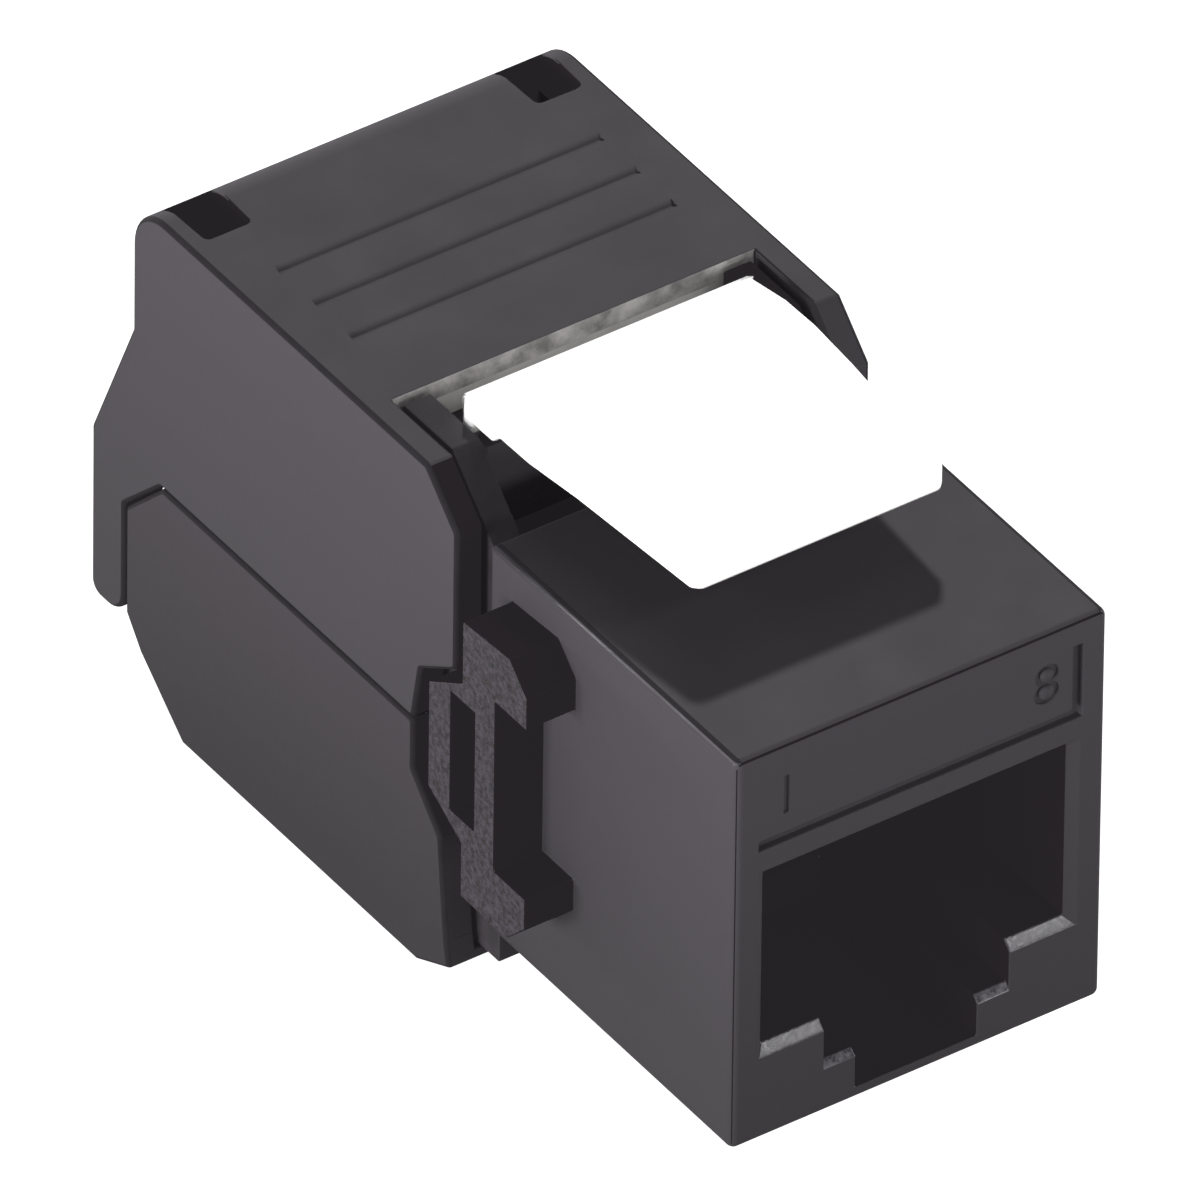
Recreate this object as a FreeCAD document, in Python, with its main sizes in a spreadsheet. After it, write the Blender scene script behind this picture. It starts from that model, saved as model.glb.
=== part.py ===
import FreeCAD, Part
import os
import Sketcher

# A keystone jack for structured cabling: a plug port in front, a flexing catch on top, and a
# rear hood that swings open on two studs, so that eight wires can be pressed in by hand.
# The lengths are in millimetres. X runs across the jack, Y from the front face to the rear and
# Z up. The sizes are measured from the middle of the front block's lower front edge, and each
# body is then moved so that the frame's origin is the bottom centre of the whole jack.

SIZES = {
    # front block and the plug port in its face
    "face_wide": 14.6,
    "face_high": 16.0,
    "block_deep": 13.9,
    "edge_bevel": 0.3,
    "port_margin": 1.35,
    "port_low": 3.75,
    "port_high": 7.05,
    "port_deep": 12.4,
    "port_bevel": 0.35,
    "key_wide": 7.3,
    "key_high": 1.7,
    "key_bevel": 0.25,
    "tongue_wide": 4.8,
    "tongue_high": 1.55,
    "tongue_deep": 9.0,
    # chamber above the port, where the spring contacts run
    "chamber_margin": 0.99,
    "chamber_high": 2.4,
    "chamber_front": 2.6,
    # engraved corner line round the label field on the face
    "label_set": 1.2,
    "label_high": 3.0,
    "label_margin": 0.95,
    "line_wide": 0.4,
    "line_deep": 0.3,
    # C-shaped stops on both sides, against which the panel rests
    "stop_proud": 1.95,
    "stop_face": 9.05,
    "stop_arm": 1.8,
    "stop_web": 1.85,
    "stop_tail": 1.9,
    "stop_low": 3.05,
    "stop_high": 11.55,
    "lower_arm_high": 2.25,
    "upper_arm_high": 2.3,
    "stop_bevel": 1.0,
    "stop_dip": 0.2,
    "tail_set": 3.35,
    "tail_high": 4.3,
    "tail_slope": 1.15,
    "stop_slot_set": 0.73,
    "stop_slot_wide": 1.4,
    "stop_slot_low": 3.15,
    "stop_slot_high": 4.9,
    "other_stop_drop": 1.45,
    # fixed hook under the block
    "hook_wide": 10.0,
    "hook_face": 8.6,
    "drop": 2.85,
    # neck behind the block, inside the hood and the shell
    "neck_gap": 0.2,
    "neck_wall": 1.1,
    "neck_long": 6.7,
    "shoulder_high": 1.7,
    "shoulder_set": 0.9,
    "shoulder_long": 2.8,
    "neck_step": 1.3,
    "neck_slope": 1.7,
    "bar_deep": 4.1,
    "bar_high": 2.2,
    "bar_rise": 0.2,
    "ridge_set": 0.3,
    "ridge_gap": 0.35,
    "foot_long": 4.7,
    "foot_high": 2.8,
    "nub_proud": 0.6,
    "nub_set": 2.7,
    "nub_long": 1.2,
    "nub_low": 0.7,
    "nub_high": 1.3,
    # catch on top
    "catch_long": 12.1,
    "catch_rise": 3.05,
    "catch_thick": 0.85,
    "catch_arch": 0.12,
    "catch_side_gap": 0.1,
    "catch_taper": 0.7,
    "catch_taper_long": 8.5,
    "catch_corner": 0.3,
    "catch_heel": 0.3,
    "root_set": 1.37,
    "root_sunk": 0.9,
    "haunch_long": 1.5,
    "haunch_high": 0.4,
    "root_drop": 0.4,
    "root_bend": 0.25,
    "bead_radius": 0.65,
    # rear hood and the outline that it shares with the shell
    "cover_step": 0.85,
    "cover_wall": 1.0,
    "cover_gap": 0.8,
    "gap": 0.05,
    "seam_set": 0.35,
    "chin_high": 3.6,
    "jaw_high": 2.35,
    "jaw_set": 2.0,
    "brow_high": 1.75,
    "hood_rise": 1.9,
    "panel_thick": 0.75,
    "panel_set": 5.2,
    "rear_room": 1.7,
    "rear_wall": 1.1,
    "rear_round": 1.8,
    "flare_drop": 5.4,
    "leg_set": 0.4,
    "leg_deep": 1.95,
    "leg_low": 0.12,
    "leg_thick": 1.55,
    "leg_heel": 0.55,
    "knee_long": 2.15,
    "knee_high": 2.1,
    "stud_radius": 0.55,
    "stud_long": 0.85,
    "window_margin": 0.7,
    "window_wide": 1.85,
    "window_long": 2.65,
    "window_set": 0.6,
    "window_deep": 1.4,
    "window_corner": 0.25,
    "grip_set": 3.5,
    "grip_step": 2.1,
    "grip_wide": 0.5,
    "grip_deep": 0.16,
    "grip_margin": 1.75,
    "edge_round": 0.2,
    # lower shell
    "floor_thick": 1.2,
    "shell_wall": 1.1,
    "shell_set": 0.2,
    "nose_set": 0.2,
    "nose_high": 1.85,
    "chin_low": 0.85,
    "toe_set": 1.9,
    "cheek_set": 2.2,
    "cheek_high": 2.05,
    "mouth_set": 0.6,
    "mouth_high": 3.85,
    "heel_long": 3.35,
    "heel_high": 3.35,
    "heel_step": 0.85,
    "heel_drop": 1.15,
    "ledge_wide": 1.1,
    "ledge_set": 0.6,
    "ear_top": 4.0,
    "ear_low": 0.15,
    "ear_bevel": 1.1,
    "cable_radius": 3.1,
    # circuit board
    "board_top": 6.6,
    "board_thick": 1.2,
    "board_set": 1.7,
    "board_gap": 0.1,
    "pin_hole": 0.32,
    # wire block with eight lanes, and its contact forks
    "lanes": 8,
    "lane_wall": 0.6,
    "lane_floor": 2.0,
    "wire_block_gap": 0.6,
    "wire_block_edge": 0.4,
    "wire_block_set": 0.3,
    "wire_block_long": 9.5,
    "wire_block_high": 6.6,
    "fork_wall": 0.29,
    "fork_thick": 0.4,
    "fork_sunk": 0.8,
    "fork_slit": 0.3,
    "slit_deep": 3.0,
    "fork_mouth": 0.8,
    "fork_tail": 0.42,
    "fork_set": 2.7,
    "fork_step": 4.0,
    "fork_gap": 0.06,
    "tail_long": 1.7,
    # wire presser under the hood's panel
    "presser_rear_set": 0.4,
    "presser_plate": 0.9,
    "presser_gap": 0.15,
    "rib_gap": 0.125,
    "rib_lift": 0.1,
    "rib_set": 1.1,
    # spring contacts of the port and the carrier that lines them up
    "contact_pitch": 1.016,
    "contact_wide": 0.4,
    "contact_thick": 0.34,
    "contact_rise": 1.2,
    "contact_front": 3.5,
    "contact_set": 0.8,
    "contact_slant_long": 7.3,
    "contact_tip_drop": 3.3,
    "comb_gap": 0.08,
    "comb_deep": 2.2,
    "comb_set": 3.3,
    "comb_high": 2.0,
    "carrier_gap": 0.1,
    "carrier_front": 3.0,
    "carrier_leg": 1.7,
}


class Length:
    """A size of the sheet, or a sum of sizes, that knows its formula and its present value."""

    def __init__(self, formula, value):
        self.formula = formula
        self.value = value

    def _with(self, sign, other, turned=False):
        if not isinstance(other, Length):
            other = Length(repr(float(other)), float(other))
        first, second = (other, self) if turned else (self, other)
        results = {
            "+": lambda a, b: a + b,
            "-": lambda a, b: a - b,
            "*": lambda a, b: a * b,
            "/": lambda a, b: a / b,
        }
        text = "(%s %s %s)" % (first.formula, sign, second.formula)
        return Length(text, results[sign](first.value, second.value))

    def __add__(self, other):
        return self._with("+", other)

    def __radd__(self, other):
        return self._with("+", other, turned=True)

    def __sub__(self, other):
        return self._with("-", other)

    def __rsub__(self, other):
        return self._with("-", other, turned=True)

    def __mul__(self, other):
        return self._with("*", other)

    def __rmul__(self, other):
        return self._with("*", other, turned=True)

    def __truediv__(self, other):
        return self._with("/", other)

    def __neg__(self):
        return self._with("*", -1)


class Sizes:
    """The named sizes, each an attribute."""


doc = FreeCAD.newDocument("keystone_jack")
sheet = doc.addObject("Spreadsheet::Sheet", "sizes")
s = Sizes()
for line, (name, number) in enumerate(SIZES.items(), start=1):
    sheet.set("A%d" % line, name)
    sheet.set("B%d" % line, str(number))
    sheet.setAlias("B%d" % line, name)
    setattr(s, name, Length("sizes." + name, number))
doc.recompute()

# Places that several pieces share, worked out from the sizes, from the front to the rear.

hood_front = s.block_deep + s.cover_gap
shell_front = hood_front + s.shell_set
neck_rear = s.block_deep + s.neck_long
board_front = s.block_deep + s.board_set
contact_rear = board_front + s.contact_set
wire_block_front = neck_rear + s.wire_block_set
wire_block_rear = wire_block_front + s.wire_block_long
board_rear = wire_block_rear + s.board_gap * 2
rear_block_front = board_rear + s.board_gap * 4
inside_rear = board_rear + s.rear_room
hood_rear = inside_rear + s.rear_wall
leg_front = hood_rear + s.leg_set
leg_rear = leg_front + s.leg_deep
leg_half = s.leg_deep / 2
pivot_place = leg_front + leg_half
pivot_high = s.leg_low + leg_half

# Heights that several pieces share.

port_top = s.port_low + s.port_high
contact_top = port_top + s.contact_rise
chamber_top = port_top + s.chamber_high
bar_top = s.face_high + s.bar_rise
root_high = bar_top - s.root_sunk
hood_top = s.face_high + s.hood_rise
catch_top = s.face_high + s.catch_rise
seam = s.board_top + s.seam_set
hood_low = seam + s.gap
board_low = s.board_top - s.board_thick
wire_block_top = s.board_top + s.wire_block_high
fork_top = wire_block_top - s.fork_sunk
tail_end = s.board_top - s.tail_long
presser_top = hood_top - s.panel_thick
presser_low = presser_top - s.presser_plate

# Widths that several pieces share, counted from the middle.

block_half = s.face_wide / 2
cover_half = block_half + s.cover_step
hood_inner = cover_half - s.cover_wall
shell_inner = cover_half - s.shell_wall
leg_inner = cover_half - s.leg_thick
neck_half = shell_inner - s.neck_gap
neck_inner = neck_half - s.neck_wall
port_half = block_half - s.port_margin
wire_block_half = hood_inner - s.wire_block_gap
lane_pitch = (wire_block_half - s.wire_block_edge) * 2 / s.lanes
lane_wide = lane_pitch - s.lane_wall
fork_wide = lane_pitch - s.fork_wall
chamber_half = (s.contact_pitch * (s.lanes - 1) + s.contact_wide) / 2 + s.chamber_margin
first_contact = s.contact_pitch * (1 - s.lanes) / 2
first_lane = lane_pitch * (1 - s.lanes) / 2

UP = {"YZ": 1, "XY": 1, "XZ": -1}


def as_length(number):
    """A plain number as a Length, so that every place may be given either way."""
    return number if isinstance(number, Length) else Length(repr(float(number)), float(number))


def new_body(name):
    """A body whose place moves the jack's bottom centre to the frame's origin."""
    body = doc.addObject("PartDesign::Body", name)
    body.Label = name
    body.setExpression("Placement.Base.y", (-leg_rear / 2).formula)
    body.setExpression("Placement.Base.z", s.drop.formula)
    return body


def plane(body, name):
    """One of the body's own origin planes."""
    return next(f for f in body.Origin.OriginFeatures if f.Role == name + "_Plane")


def sketch_on(body, name, where, start):
    """An empty sketch parallel to an origin plane, at the distance start along X, Y or Z."""
    sketch = body.newObject("Sketcher::SketchObject", name)
    sketch.AttachmentSupport = (plane(body, where), [""])
    sketch.MapMode = "FlatFace"
    sketch.setExpression("AttachmentOffset.Base.z", (as_length(start) * UP[where]).formula)
    return sketch


def fix_point(sketch, element, point, across, along):
    """Two measured distances from the sketch's origin hold a point."""
    for kind, length in (("DistanceX", as_length(across)), ("DistanceY", as_length(along))):
        index = sketch.addConstraint(Sketcher.Constraint(kind, -1, 1, element, point, length.value))
        sketch.setExpression("Constraints[%d]" % index, length.formula)


def draw_outline(sketch, corners):
    """A closed outline of straight lines through the corners."""
    points = [FreeCAD.Vector(as_length(u).value, as_length(v).value, 0) for u, v in corners]
    count = len(points)
    for index in range(count):
        sketch.addGeometry(Part.LineSegment(points[index], points[(index + 1) % count]))
    for index in range(count):
        following = (index + 1) % count
        sketch.addConstraint(Sketcher.Constraint("Coincident", index, 2, following, 1))
    for index, (u, v) in enumerate(corners):
        fix_point(sketch, index, 1, u, v)


def draw_circle(sketch, u, v, radius):
    """A circle held by its centre and its radius."""
    centre = FreeCAD.Vector(as_length(u).value, as_length(v).value, 0)
    circle = Part.Circle(centre, FreeCAD.Vector(0, 0, 1), radius.value)
    element = sketch.addGeometry(circle)
    fix_point(sketch, element, 3, u, v)
    index = sketch.addConstraint(Sketcher.Constraint("Radius", element, radius.value))
    sketch.setExpression("Constraints[%d]" % index, radius.formula)


def extrude(body, sketch, name, length, cut):
    """A pad or a pocket of the sketch, towards larger X, Y or Z."""
    role = sketch.AttachmentSupport[0][0].Role[:2]
    kind = "PartDesign::Pocket" if cut else "PartDesign::Pad"
    feature = body.newObject(kind, name)
    feature.Profile = sketch
    feature.setExpression("Length", as_length(length).formula)
    feature.Reversed = (UP[role] < 0) != cut
    return feature


def pad(body, name, where, start, length, corners):
    """Material with the outline of the corners, from start over length."""
    sketch = sketch_on(body, name + "_outline", where, start)
    draw_outline(sketch, corners)
    return extrude(body, sketch, name, length, False)


def cut(body, name, where, start, length, corners):
    """A pocket with the outline of the corners, from start over length."""
    sketch = sketch_on(body, name + "_outline", where, start)
    draw_outline(sketch, corners)
    return extrude(body, sketch, name, length, True)


def round_pad(body, name, where, start, length, u, v, radius):
    """A round bar."""
    sketch = sketch_on(body, name + "_circle", where, start)
    draw_circle(sketch, u, v, radius)
    return extrude(body, sketch, name, length, False)


def round_cut(body, name, where, start, length, u, v, radius):
    """A round hole."""
    sketch = sketch_on(body, name + "_circle", where, start)
    draw_circle(sketch, u, v, radius)
    return extrude(body, sketch, name, length, True)


def rectangle(left, right, low, high):
    """The corners of a rectangle."""
    return [(left, low), (right, low), (right, high), (left, high)]


def centred(wide, low, high):
    """The corners of a rectangle that is centred across."""
    return rectangle(-wide / 2, wide / 2, low, high)


def both_sides(body, feature, name):
    """The same feature on the other side of the jack."""
    mirror = body.newObject("PartDesign::Mirrored", name)
    mirror.Originals = [feature]
    mirror.MirrorPlane = (plane(body, "YZ"), [""])
    body.Tip = mirror
    return mirror


def in_a_row(body, feature, name, step, count):
    """Equal features beside each other across the jack."""
    row = body.newObject("PartDesign::LinearPattern", name)
    row.Originals = [feature]
    row.Direction = (next(f for f in body.Origin.OriginFeatures if f.Role == "X_Axis"), [""])
    row.setExpression("Length", (step * (count - 1)).formula)
    row.setExpression("Occurrences", count.formula)
    body.Tip = row
    return row


def dress(body, kind, name, length, chosen):
    """A fillet or a chamfer along the edges that the test picks out."""
    doc.recompute()
    base = body.Tip
    edges = ["Edge%d" % (i + 1) for i, edge in enumerate(base.Shape.Edges) if chosen(edge)]
    if not edges:
        raise RuntimeError("%s finds no edge" % name)
    feature = body.newObject("PartDesign::" + kind, name)
    feature.Base = (base, edges)
    feature.setExpression({"Fillet": "Radius", "Chamfer": "Size"}[kind], length.formula)
    return feature


def soften(body, name, radius, chosen):
    """A round along the chosen edges."""
    return dress(body, "Fillet", name, radius, chosen)


def bevel(body, name, size, chosen):
    """A flat bevel along the chosen edges."""
    return dress(body, "Chamfer", name, size, chosen)


def within(edge, axis, place):
    """Whether an edge lies in the plane where one coordinate, or its size, is the place."""
    points = [getattr(vertex.Point, axis) for vertex in edge.Vertexes]
    return all(abs(abs(point) - place.value) < 1e-4 for point in points)


# Front block: one moulding with the port, the side stops, the hook and the neck behind.

front = new_body("front_housing")
pad(front, "block", "XZ", 0, s.block_deep, centred(s.face_wide, 0, s.face_high))


def on_block_rim(edge):
    """Whether an edge is on the front face or runs back from one of its corners."""
    if within(edge, "y", as_length(0)):
        return True
    sides = within(edge, "x", block_half)
    return sides and (within(edge, "z", as_length(0)) or within(edge, "z", s.face_high))


soften(front, "block_edges", s.edge_bevel, on_block_rim)
pad(front, "hook", "XY", -s.drop, s.drop + s.tongue_high / 2,
    centred(s.hook_wide, s.hook_face, s.block_deep))

# The stop is a C: two arms that face forward, a web between them and a tail behind it.
arm_rear = s.stop_face + s.stop_arm
web_rear = arm_rear + s.stop_web
stop_top = s.stop_low + s.stop_high
tail_low = s.stop_low + s.tail_set
tail_top = tail_low + s.tail_high
stop = pad(front, "side_stop", "YZ", block_half, s.stop_proud, [
    (s.stop_face + s.stop_bevel, s.stop_low),
    (web_rear, s.stop_low),
    (web_rear, tail_low - s.tail_slope),
    (web_rear + s.stop_tail, tail_low),
    (web_rear + s.stop_tail, tail_top),
    (web_rear, tail_top + s.tail_slope),
    (web_rear, stop_top - s.stop_dip),
    (s.stop_face + s.stop_bevel, stop_top),
    (s.stop_face, stop_top - s.stop_bevel),
    (s.stop_face, stop_top - s.upper_arm_high),
    (arm_rear, stop_top - s.upper_arm_high),
    (arm_rear, s.stop_low + s.lower_arm_high),
    (s.stop_face, s.stop_low + s.lower_arm_high),
    (s.stop_face, s.stop_low + s.stop_bevel),
])
both_sides(front, stop, "other_side_stop")
cut(front, "other_stop_top", "XZ", s.stop_face, s.stop_arm + s.stop_web, rectangle(
    block_half, block_half + s.stop_proud, stop_top - s.other_stop_drop, stop_top))
slot_front = web_rear - s.stop_slot_set
slot_low = s.stop_low + s.stop_slot_low
stop_slot = cut(front, "stop_slot", "YZ", block_half, s.stop_proud, rectangle(
    slot_front, slot_front + s.stop_slot_wide, slot_low, slot_low + s.stop_slot_high))
both_sides(front, stop_slot, "other_stop_slot")

# The neck is a frame behind the block: two sides with shoulders, a bar and a foot.
neck_low = s.board_top + 3 * s.gap
shoulder_rear = neck_rear - s.shoulder_set
shoulder_front = shoulder_rear - s.shoulder_long
shoulder_top = s.face_high + s.shoulder_high
neck_side = pad(front, "neck_side", "YZ", neck_inner, s.neck_wall, [
    (s.block_deep, neck_low),
    (neck_rear, neck_low),
    (neck_rear, bar_top),
    (shoulder_rear, bar_top),
    (shoulder_rear, shoulder_top),
    (shoulder_front, shoulder_top),
    (shoulder_front - s.neck_slope, shoulder_top - s.neck_slope),
    (s.block_deep, s.face_high - s.neck_step),
])
both_sides(front, neck_side, "other_neck_side")
neck_cheek = pad(front, "neck_cheek", "YZ", neck_inner, s.neck_wall, rectangle(
    s.block_deep, board_front - s.board_gap * 2,
    s.floor_thick - s.drop + s.foot_high - s.gap, neck_low + s.gap))
both_sides(front, neck_cheek, "other_neck_cheek")
bar_front = neck_rear - s.bar_deep
pad(front, "catch_bar", "YZ", -neck_half, neck_half * 2,
    rectangle(bar_front, neck_rear, bar_top - s.bar_high, bar_top))
foot_low = s.floor_thick - s.drop + s.gap
foot_outline = rectangle(s.block_deep, s.block_deep + s.foot_long, foot_low, foot_low + s.foot_high)
pad(front, "foot", "YZ", -neck_half, neck_half * 2, foot_outline)
nub_front = s.block_deep + s.nub_set
nub_low = foot_low + s.nub_low
nub = pad(front, "foot_nub", "YZ", neck_half, s.nub_proud,
          rectangle(nub_front, nub_front + s.nub_long, nub_low, nub_low + s.nub_high))
both_sides(front, nub, "other_foot_nub")

# The groove that holds the catch's bead is open upwards, a little wider than the root.
root_place = bar_front + s.root_set
root_front = root_place - s.catch_thick / 2
leaf_low = catch_top - s.catch_thick
haunch_low = leaf_low - s.haunch_high
round_cut(front, "bead_groove", "YZ", -neck_inner, neck_inner * 2,
          root_place, root_high, s.bead_radius + s.gap)
mouth_half = s.catch_thick / 2 + 3 * s.gap
cut(front, "groove_mouth", "YZ", -neck_inner, neck_inner * 2, rectangle(
    root_place - mouth_half, root_place + mouth_half, root_high, bar_top))
pad(front, "catch_ridge", "YZ", -neck_inner, neck_inner * 2, rectangle(
    bar_front, root_front - s.ridge_gap, bar_top - s.gap, haunch_low - s.ridge_set))

# The port: a wide opening for the plug, a keyway below it and a slot for the plug's tongue.
key_low = s.port_low - s.key_high
tongue_low = key_low - s.tongue_high
cut(front, "port", "XZ", 0, s.port_deep, centred(port_half * 2, s.port_low, port_top))


def on_port_rim(edge):
    """Whether an edge is one of the port's four edges in the front face."""
    if not within(edge, "y", as_length(0)):
        return False
    if within(edge, "x", port_half):
        return True
    return within(edge, "z", port_top) or within(edge, "z", s.port_low)


bevel(front, "port_lead_in", s.port_bevel, on_port_rim)
cut(front, "keyway", "XZ", 0, s.port_deep, centred(s.key_wide, key_low, s.port_low + s.gap))
bevel(front, "key_lead_in", s.key_bevel,
      lambda edge: within(edge, "y", as_length(0)) and within(edge, "z", key_low))
cut(front, "tongue_slot", "XZ", 0, s.tongue_deep,
    centred(s.tongue_wide, tongue_low, key_low + s.gap))
cut(front, "contact_chamber", "XZ", s.chamber_front, s.block_deep - s.chamber_front,
    centred(chamber_half * 2, port_top - s.gap, chamber_top))

# Thin ribs in the port's rear wall keep the spring contacts' ends apart.
comb_wide = s.contact_pitch - s.contact_wide - 2 * s.comb_gap
first_comb = first_contact - s.contact_pitch / 2
comb_low = s.port_low + s.comb_set
comb = pad(front, "tip_comb", "XZ", s.port_deep - s.comb_deep, s.comb_deep + s.gap, rectangle(
    first_comb - comb_wide / 2, first_comb + comb_wide / 2, comb_low, comb_low + s.comb_high))
in_a_row(front, comb, "tip_combs", s.contact_pitch, s.lanes + 1)

# The label field is framed by a line below it and a short line at its right.
label_half = block_half - s.label_margin
label_low = port_top + s.label_set
label_top = label_low + s.label_high
cut(front, "label_line", "XZ", 0, s.line_deep,
    rectangle(-label_half, label_half, label_low, label_low + s.line_wide))
cut(front, "label_corner", "XZ", 0, s.line_deep,
    rectangle(label_half - s.line_wide, label_half, label_low + s.line_wide, label_top))


# Catch: a flexing leaf with a haunch and a round bead at its root.

catch = new_body("latch_tab")
catch_half = neck_inner - s.catch_side_gap
tip_half = catch_half - s.catch_taper
root_rear = root_place + s.catch_thick / 2
catch_front = root_place - s.catch_long
catch_middle = root_place - s.catch_long / 2
pad(catch, "leaf", "YZ", -catch_half, catch_half * 2, [
    (catch_front, leaf_low),
    (catch_middle, leaf_low + s.catch_arch),
    (root_front - s.haunch_long, leaf_low),
    (root_front - s.haunch_long + s.haunch_high, haunch_low),
    (root_front, haunch_low),
    (root_front, root_high),
    (root_rear, root_high),
    (root_rear, leaf_low),
    (root_rear - s.root_bend, catch_top - s.root_drop),
    (root_front - s.haunch_long, catch_top),
    (catch_middle, catch_top + s.catch_arch),
    (catch_front, catch_top),
])
round_pad(catch, "bead", "YZ", -catch_half, catch_half * 2, root_place, root_high, s.bead_radius)
taper_end = catch_front + s.catch_taper_long
taper = cut(catch, "side_taper", "XY", leaf_low - s.catch_thick, 3 * s.catch_thick, [
    (tip_half - s.catch_corner, catch_front - s.catch_thick),
    (catch_half + s.catch_thick, catch_front - s.catch_thick),
    (catch_half + s.catch_thick, taper_end),
    (catch_half, taper_end),
    (tip_half, catch_front + s.catch_corner),
    (tip_half - s.catch_corner, catch_front),
])
both_sides(catch, taper, "other_side_taper")
heel_corner = cut(catch, "heel_corner", "XY", root_high, catch_top - root_high, [
    (catch_half - s.catch_heel, root_rear),
    (catch_half, root_rear - s.catch_heel),
    (catch_half, root_rear),
])
both_sides(catch, heel_corner, "other_heel_corner")


# Hood: one moulding with a top panel, two cheeks, a rear wall and two legs that carry the studs.

hood = new_body("hood")
leg_face = leg_front + s.gap
knee_front = leg_front - s.knee_long
knee_low = seam - s.knee_high
cheek = hood_front + s.shell_set + s.cheek_set
pad(hood, "side", "YZ", -cover_half, cover_half * 2, [
    (cheek, hood_low),
    (hood_front + s.jaw_set, seam + s.jaw_high),
    (hood_front, seam + s.chin_high),
    (hood_front, hood_top - s.brow_high),
    (hood_front + s.brow_high, hood_top),
    (hood_rear, hood_top),
    (hood_rear, hood_top - s.flare_drop),
    (leg_rear, hood_low),
    (leg_rear, s.leg_low),
    (leg_face, s.leg_low),
    (leg_face, knee_low + s.gap),
    (knee_front + s.gap, hood_low),
])
soften(hood, "leg_toe", leg_half - s.gap,
       lambda edge: within(edge, "y", leg_face) and within(edge, "z", s.leg_low))
soften(hood, "leg_heel", s.leg_heel,
       lambda edge: within(edge, "y", leg_rear) and within(edge, "z", s.leg_low))
soften(hood, "rear_brow", s.rear_round,
       lambda edge: within(edge, "y", hood_rear) and within(edge, "z", hood_top))
soften(hood, "side_edges", s.edge_round, lambda edge: within(edge, "x", cover_half))
cut(hood, "inside", "YZ", -hood_inner, hood_inner * 2, rectangle(
    hood_front - s.cover_wall, inside_rear, seam - s.cover_wall, presser_top))
cut(hood, "catch_opening", "YZ", -hood_inner, hood_inner * 2, rectangle(
    hood_front - s.cover_wall, hood_front + s.panel_set,
    presser_top - s.gap, hood_top + s.cover_wall))
cut(hood, "between_legs", "YZ", -leg_inner, leg_inner * 2, rectangle(
    hood_rear, leg_rear + s.cover_wall, s.leg_low - s.cover_wall, hood_top - s.flare_drop))
cut(hood, "below_rear_wall", "YZ", -leg_inner, leg_inner * 2, rectangle(
    knee_front - s.cover_wall, hood_rear + s.cover_wall, s.leg_low - s.cover_wall, hood_low))
round_cut(hood, "cable_arch", "XZ", rear_block_front, leg_rear - rear_block_front,
          0, seam, s.cable_radius)
window_outer = cover_half - s.window_margin
window_inner = window_outer - s.window_wide
window_rear = hood_rear - s.window_set
window_front = window_rear - s.window_long
window = cut(hood, "window", "XY", hood_top - s.window_deep, s.window_deep * 2,
             rectangle(window_inner, window_outer, window_front, window_rear))
both_sides(hood, window, "other_window")


def on_window_corner(edge):
    """Whether an edge stands upright in a corner of one of the windows."""
    across = within(edge, "x", window_inner) or within(edge, "x", window_outer)
    return across and (within(edge, "y", window_front) or within(edge, "y", window_rear))


soften(hood, "window_corners", s.window_corner, on_window_corner)
grip_half = cover_half - s.grip_margin
for number in range(3):
    grip_place = hood_front + s.panel_set + s.grip_set + s.grip_step * number
    cut(hood, "grip_line_%d" % (number + 1), "YZ", -grip_half, grip_half * 2, [
        (grip_place - s.grip_wide / 2, hood_top),
        (grip_place, hood_top - s.grip_deep),
        (grip_place + s.grip_wide / 2, hood_top),
    ])
stud = round_pad(hood, "stud", "YZ", leg_inner - s.stud_long, s.stud_long + s.leg_thick / 2,
                 pivot_place, pivot_high, s.stud_radius)
both_sides(hood, stud, "other_stud")


# Lower shell: a tray under the board, with a rear block for the cable and for the studs.

shell = new_body("lower_shell")
shell_rear = leg_front - s.gap
heel_high = s.heel_high - s.drop
pad(shell, "tray", "YZ", -cover_half, cover_half * 2, [
    (cheek, seam),
    (cheek, seam - s.cheek_high),
    (shell_front + s.mouth_set, seam - s.mouth_high),
    (shell_front + s.nose_set, s.nose_high - s.drop),
    (shell_front, s.chin_low - s.drop),
    (shell_front + s.toe_set, -s.drop),
    (shell_rear - s.heel_long, -s.drop),
    (shell_rear - s.heel_step, heel_high - s.heel_drop),
    (shell_rear, heel_high),
    (shell_rear, knee_low),
    (knee_front, seam),
])
soften(shell, "side_edges", s.edge_round, lambda edge: within(edge, "x", cover_half))
cut(shell, "tray_inside", "YZ", -shell_inner, shell_inner * 2, rectangle(
    s.block_deep, rear_block_front, s.floor_thick - s.drop, seam + s.shell_wall))
ledge = pad(shell, "ledge", "YZ", shell_inner - s.ledge_wide, s.ledge_wide, rectangle(
    s.block_deep + s.foot_long + s.ledge_set, rear_block_front,
    s.floor_thick - s.drop, board_low))
both_sides(shell, ledge, "other_ledge")
ear_half = leg_inner - 2 * s.gap
ear_rear = leg_rear - 3 * s.gap
pad(shell, "ear_block", "YZ", -ear_half, ear_half * 2, [
    (rear_block_front, heel_high),
    (shell_rear, s.ear_low),
    (ear_rear, s.ear_low),
    (ear_rear, s.ear_top - s.ear_bevel),
    (ear_rear - s.ear_bevel, s.ear_top),
    (hood_rear, s.ear_top),
    (hood_rear, seam),
    (rear_block_front, seam),
])
round_cut(shell, "cable_cradle", "XZ", rear_block_front - s.rear_wall,
          leg_rear - rear_block_front + s.rear_wall, 0, seam, s.cable_radius)
bore = round_cut(shell, "stud_bore", "YZ", ear_half - s.stud_long, s.stud_long * 2,
                 pivot_place, pivot_high, s.stud_radius + s.gap)
both_sides(shell, bore, "other_stud_bore")
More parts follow.
